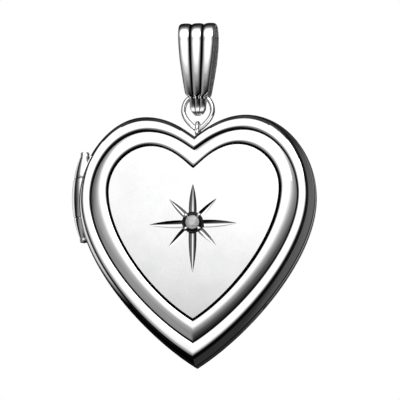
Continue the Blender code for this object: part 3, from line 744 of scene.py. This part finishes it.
eyeLook = {
    "z": 9.02, "radius": 0.62, "wire": 0.22, "steps": 64, "sides": 24,
    "footBottom": 7.75, "footTop": 8.52, "footRadius": 0.18, "footDepth": 0.30,
}
linkLook = {
    "wire": 0.25, "bottom": 9.06, "top": 12.5, "widest": 10.90, "halfWidth": 1.47,
    "topPull": 0.51, "shoulderPull": 0.65, "hipPull": 0.42, "bottomPull": 0.20, "steps": 60,
    "sides": 28,
}


def hangingEye():
    path = []
    for i in range(eyeLook["steps"]):
        angle = math.tau * i / eyeLook["steps"]
        path.append((eyeLook["radius"] * math.sin(angle), eyeLook["z"] + eyeLook["radius"] * math.cos(angle)))
    wire, sides = eyeLook["wire"], eyeLook["sides"]
    eye = roundWire("hangingEye", path, "YZ", wire, sides, [polished], "back_half")
    foot = [(eyeLook["footRadius"], eyeLook["footBottom"]), (eyeLook["footRadius"], eyeLook["footTop"])]
    centre = (0.0, eyeLook["footDepth"], heartZ)
    cut(eye, turnedPiece("eyeFoot", foot, centre, "Z", sides, [polished]), "UNION")
    settle(eye, 40)
    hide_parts("hanging_eye")


def pearLink():
    width, widest, steps = linkLook["halfWidth"], linkLook["widest"], linkLook["steps"]
    top, bottom = (0.0, linkLook["top"]), (0.0, linkLook["bottom"])
    shoulder = widest + linkLook["shoulderPull"] * (top[1] - widest)
    hip = widest - linkLook["hipPull"] * (widest - bottom[1])
    half = bezier(top, (linkLook["topPull"] * width, top[1]), (width, shoulder), (width, widest), steps)
    half += bezier((width, widest), (width, hip), (linkLook["bottomPull"] * width, bottom[1]), bottom, steps)
    path = mirrored(pinned(evenly(half + [bottom], steps)))
    wire, sides = linkLook["wire"], linkLook["sides"]
    link = roundWire("pearLink", path, "XZ", wire, sides, [polished], "link")
    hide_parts("jump_ring")


bailLook = {
    "topRadius": 1.72, "wall": 0.32, "foldAngle": 97.0, "foldSteps": 24,
    "holeBottom": 11.65, "neckRadius": 0.42,
    "frontHandles": ((1.70, 15.6), (1.50, 12.6)), "frontSteps": 18,
    "tail": (
        (0.63, 11.80), (0.50, 11.52), (0.42, 11.26), (0.40, 11.0), (0.39, 10.76), (0.31, 10.56),
        (0.16, 10.46),
    ),
    "tailSteps": 14, "tailAngle": 86.0,
    "widths": (  # z, half width
        (10.46, 0.25), (10.7, 0.55), (11.1, 0.76), (12.15, 0.80), (12.55, 1.20), (16.0, 1.69), (17.6, 1.82),
        (19.9, 1.86),
    ),
    "flutes": 3, "fluteSteps": 20, "fluteDepth": 0.20, "fluteSquare": 2.8, "fluteEdge": 0.6,
    "fadeBottom": 10.7, "fadeOver": 2.2, "leastReach": 0.2,
    "valley": 0.84, "edgeFaces": 4,  # where the painted dark reflection starts in a flute, and the faces left polished at each edge
}


def bailHalfWidth(z):
    for (low, lowWidth), (high, highWidth) in zip(bailLook["widths"], bailLook["widths"][1:]):
        if z <= high:
            return lowWidth + (highWidth - lowWidth) * max(0.0, z - low) / (high - low)
    return bailLook["widths"][-1][1]


def bailLines():  # (depth, z) of the outside and the inside, from the top of the fold to the tip
    centreZ, wall, neckRadius = -heartZ, bailLook["wall"], bailLook["neckRadius"]
    radius = bailLook["topRadius"]
    outer, inner = [], []
    for i in range(bailLook["foldSteps"] + 1):
        angle = math.radians(bailLook["foldAngle"]) * i / bailLook["foldSteps"]
        outer.append((radius * math.sin(angle), centreZ + radius * math.cos(angle)))
        inner.append(((radius - wall) * math.sin(angle), centreZ + (radius - wall) * math.cos(angle)))
    neck = bailLook["holeBottom"] + neckRadius
    foot = (neckRadius + wall, neck)
    front = bezier(outer[-1], *bailLook["frontHandles"], foot, bailLook["frontSteps"])[1:] + [foot]
    outer += front
    inner += [(depth - wall, z) for depth, z in front]
    outer += evenly([foot, *bailLook["tail"]], bailLook["tailSteps"])[1:]
    for i in range(1, bailLook["tailSteps"] + 1):
        turn = math.radians(bailLook["tailAngle"]) * i / bailLook["tailSteps"]
        inner.append((neckRadius * math.cos(turn), neck - neckRadius * math.sin(turn)))
    return outer, inner


def flutedBail():
    outer, inner = [[(-y, z) for y, z in line] + list(reversed(line[1:])) for line in bailLines()]
    flutes = bailLook["flutes"]
    across = bailLook["fluteSteps"] * flutes
    points = []
    for (outerY, outerZ), (innerY, innerZ) in zip(outer, inner):
        width = bailHalfWidth(outerZ)
        innerWidth = min(width, bailHalfWidth(innerZ))
        above = max(0.0, outerZ + heartZ)
        length = max(bailLook["leastReach"], math.hypot(outerY, above))
        normal = (outerY / length, above / length)
        fade = min(1.0, max(0.0, (outerZ - bailLook["fadeBottom"]) / bailLook["fadeOver"]))
        for step in range(across + 1):
            u = step / across
            crown = 1.0 - abs(2.0 * ((flutes * u) % 1.0) - 1.0) ** bailLook["fluteSquare"]
            lift = bailLook["fluteDepth"] * (crown ** bailLook["fluteEdge"] - 1.0) * fade
            points.append((width * (2 * u - 1), outerY + lift * normal[0], outerZ + lift * normal[1]))
        points += [(innerWidth, innerY, innerZ), (-innerWidth, innerY, innerZ)]
    row = across + 3
    faces = stackFaces(len(outer), row, closed=True)
    points = [(x, y, z + heartZ) for x, y, z in points]
    edges = bailLook["edgeFaces"]
    slots = []
    # painted dark reflection in each flute's valley
    for step in range(across):
        side = abs(2.0 * ((flutes * (step + 0.5) / across) % 1.0) - 1.0)
        slots.append(2 if side > bailLook["valley"] and edges <= step < across - edges else 0)
    slots += [1] * (row - across)  # the edge and inner faces of each station come last
    finishes = [polished, inside, paintedShade]
    bail = meshPiece("flutedBail", points, faces, finishes, "bail", 40, slots * len(outer))
    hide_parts("bail")


def keptPieces():  # pieces whose plain shape is right get their real finish
    card, sheet, wire = pictureCard(), clearAcetate(), drawnWire()
    finishes = {
        "front_picture_frame": inside, "back_picture_frame": inside, "snap_rim": inside, "hinge_pin": wire,
        "front_window": sheet, "back_window": sheet, "front_picture_card": card, "back_picture_card": card,
    }
    for node, finish in finishes.items():
        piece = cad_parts[node]
        piece.data.materials.clear()
        piece.data.materials.append(finish)


studio = {
    "aim": (0.25, 0.0, 1.90), "turn": 9.0, "rise": -10.0, "roll": 0.3, "distance": 450.0, "view": 39.7,
    "sensor": 36.0, "floorDrop": 180.0, "floorSize": 4000.0, "floorColour": (0.93, 0.93, 0.93, 1),
    "floorRoughness": 0.9, "softboxPlace": (0.12, -0.35, 0.22), "softboxAim": (-0.12, 0.35, -0.24),
    "softboxEnergy": 0.3, "softboxSize": 0.25,
    "panels": (  # which way each panel lies, and its light by how straight a ray runs at it
        ((-0.05, -0.80, 0.60),  # bright tent in front and above
         ((0.0, 0.0), (0.30, 0.02), (0.50, 0.08), (0.64, 0.22), (0.74, 0.40), (0.80, 0.74), (0.85, 1.15))),
        ((0.72, 0.68, 0.05), ((0.0, 0.0), (0.80, 0.03), (0.92, 0.10), (1.0, 0.13))),  # dim card at the right
        ((0.30, 0.94, 0.12), ((0.0, 0.0), (0.93, 0.0), (0.975, 0.16), (1.0, 0.24))),  # and one behind it
        ((-0.82, 0.56, 0.12), ((0.0, 0.0), (0.90, 0.0), (0.95, 0.70), (1.0, 0.85))),  # strip behind the hinge
        ((-0.66, -0.62, -0.43), ((0.0, 0.0), (0.80, 0.0), (0.92, 0.15), (1.0, 0.26))),  # low fill at the left
    ),
}


def addCamera():
    aim = Vector((studio["aim"][0], studio["aim"][1], studio["aim"][2] + heartZ)) * mm
    turn, rise = math.radians(studio["turn"]), math.radians(studio["rise"])
    away = Vector((math.sin(turn) * math.cos(rise), -math.cos(turn) * math.cos(rise), math.sin(rise)))
    data = bpy.data.cameras.new("camera")
    data.sensor_width = studio["sensor"]
    data.lens = studio["sensor"] * studio["distance"] / studio["view"]
    data.clip_start, data.clip_end = 0.01, 20.0
    camera = bpy.data.objects.new("camera", data)
    camera.location = aim + away * studio["distance"] * mm
    look = (-away).to_track_quat("-Z", "Y").to_matrix()
    camera.rotation_euler = (look @ Matrix.Rotation(math.radians(studio["roll"]), 3, "Z")).to_euler()
    bpy.context.scene.collection.objects.link(camera)
    bpy.context.scene.camera = camera


def addFloor():
    half = 0.5 * studio["floorSize"] * mm
    z = -studio["floorDrop"] * mm
    mesh = bpy.data.meshes.new("floor")
    corners = [(-half, -half, z), (half, -half, z), (half, half, z), (-half, half, z)]
    mesh.from_pydata(corners, [], [(0, 1, 2, 3)])
    finish, _, shader = newFinish("paleFloor")
    shader.inputs["Base Color"].default_value = studio["floorColour"]
    shader.inputs["Roughness"].default_value = studio["floorRoughness"]
    mesh.materials.append(finish)
    floor = bpy.data.objects.new("floor", mesh)
    floor.visible_glossy = False
    bpy.context.scene.collection.objects.link(floor)


def panelLight(tree, place, lies, stops):
    facing = addNode(tree, "ShaderNodeVectorMath", operation="DOT_PRODUCT")
    facing.inputs[1].default_value = Vector(lies).normalized()
    tree.links.new(place.outputs["Generated"], facing.inputs[0])
    ramp = addNode(tree, "ShaderNodeValToRGB")
    ramp.color_ramp.interpolation = "EASE"
    for element, (position, level) in zip(ramp.color_ramp.elements, (stops[0], stops[-1])):
        element.position = position
        element.color = (level, level, level, 1)
    for position, level in stops[1:-1]:
        ramp.color_ramp.elements.new(position).color = (level, level, level, 1)
    tree.links.new(facing.outputs["Value"], ramp.inputs["Fac"])
    return ramp.outputs["Color"]


def addLight():  # the panels add up in what the silver reflects, and plain white paper stands behind
    world = bpy.data.worlds.new("studio")
    bpy.context.scene.world = world
    world.use_nodes = True
    tree = world.node_tree
    tree.nodes.clear()
    out = addNode(tree, "ShaderNodeOutputWorld")
    place = addNode(tree, "ShaderNodeTexCoord")
    total = None
    for lies, stops in studio["panels"]:
        panel = panelLight(tree, place, lies, stops)
        if total is None:
            total = panel
            continue
        both = addNode(tree, "ShaderNodeVectorMath", operation="ADD")
        tree.links.new(total, both.inputs[0])
        tree.links.new(panel, both.inputs[1])
        total = both.outputs["Vector"]
    tent = addNode(tree, "ShaderNodeBackground", Strength=1.0)
    tree.links.new(total, tent.inputs["Color"])
    paper = addNode(tree, "ShaderNodeBackground", Strength=1.0)
    paper.inputs["Color"].default_value = (1, 1, 1, 1)
    path = addNode(tree, "ShaderNodeLightPath")
    mix = addNode(tree, "ShaderNodeMixShader")
    tree.links.new(path.outputs["Is Camera Ray"], mix.inputs["Fac"])
    tree.links.new(tent.outputs["Background"], mix.inputs[1])
    tree.links.new(paper.outputs["Background"], mix.inputs[2])
    tree.links.new(mix.outputs["Shader"], out.inputs["Surface"])
    soft = bpy.data.lights.new("softbox", "AREA")
    soft.energy, soft.size = studio["softboxEnergy"], studio["softboxSize"]
    box = bpy.data.objects.new("softbox", soft)
    box.location = studio["softboxPlace"]
    box.rotation_euler = Vector(studio["softboxAim"]).to_track_quat("-Z", "Y").to_euler()
    bpy.context.scene.collection.objects.link(box)


bpy.context.scene.view_settings.view_transform = "Standard"
addCamera()
addFloor()
addLight()
print("studio ready")
frontCover()
print("front cover cut and polished")
backCover()
openingLip()
print("back half made")
knuckleBarrel("lowerBackKnuckle", "back_knuckle_lower", "back_half")
knuckleBarrel("upperBackKnuckle", "back_knuckle_upper", "back_half")
knuckleBarrel("coverKnuckle", "front_knuckle", "front_cover")
print("hinge made")
stoneSetting()
cutDiamond()
print("stone set")
hangingEye()
pearLink()
flutedBail()
print("hanging parts made")
keptPieces()
